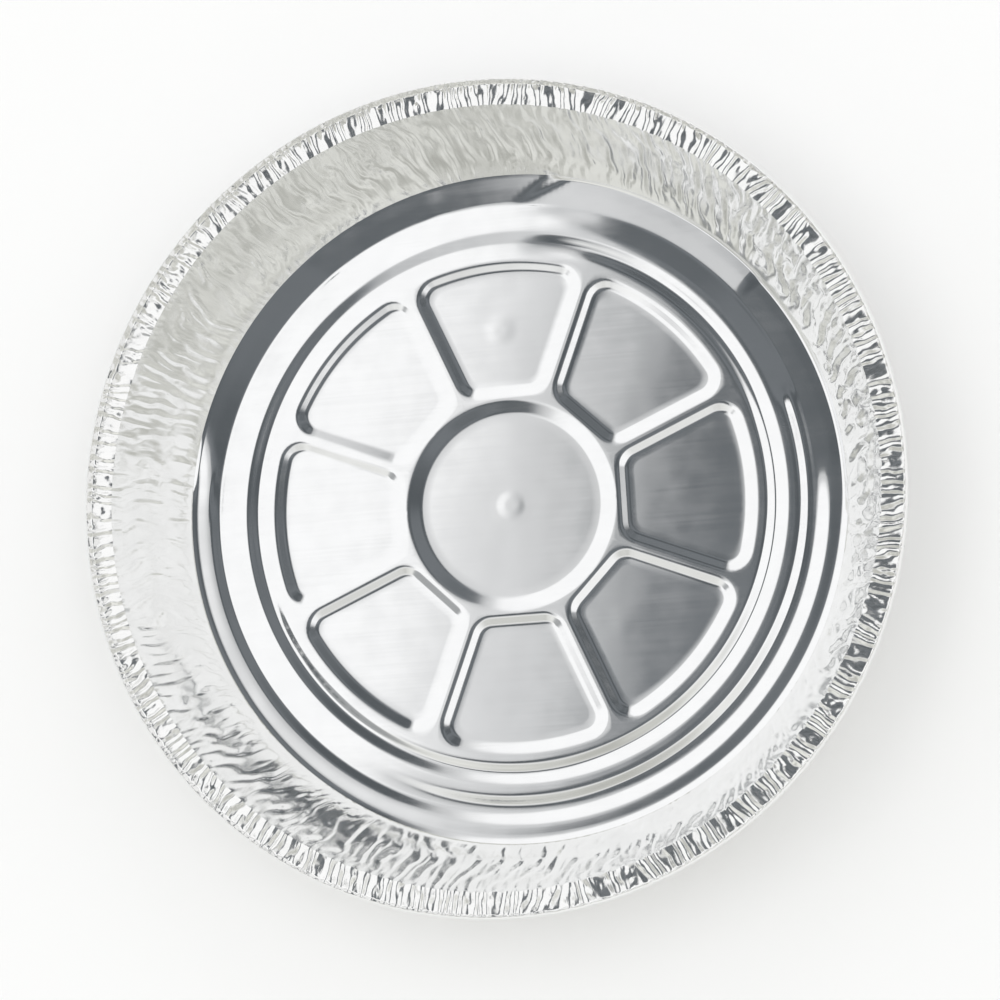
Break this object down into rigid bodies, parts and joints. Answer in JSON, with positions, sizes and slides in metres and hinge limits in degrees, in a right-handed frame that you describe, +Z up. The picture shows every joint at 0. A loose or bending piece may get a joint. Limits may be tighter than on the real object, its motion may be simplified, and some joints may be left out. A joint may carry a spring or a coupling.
{
  "type": "foil pie tin",
  "caption": "Round aluminium foil pie tin with a crimped rim, a gathered flared wall and an embossed spoked bottom.",
  "frame": {"origin": "middle of the underside, on the surface that the tin stands on", "axes": "+Z up through the open mouth, +Y towards the panel with the faint second dimple"},
  "size_m": [0.234, 0.234, 0.037],
  "materials": {
    "foil": "bright rolled foil"
  },
  "bodies": {
    "root": {"pie_tin": "foil"}
  },
  "joints": []
}
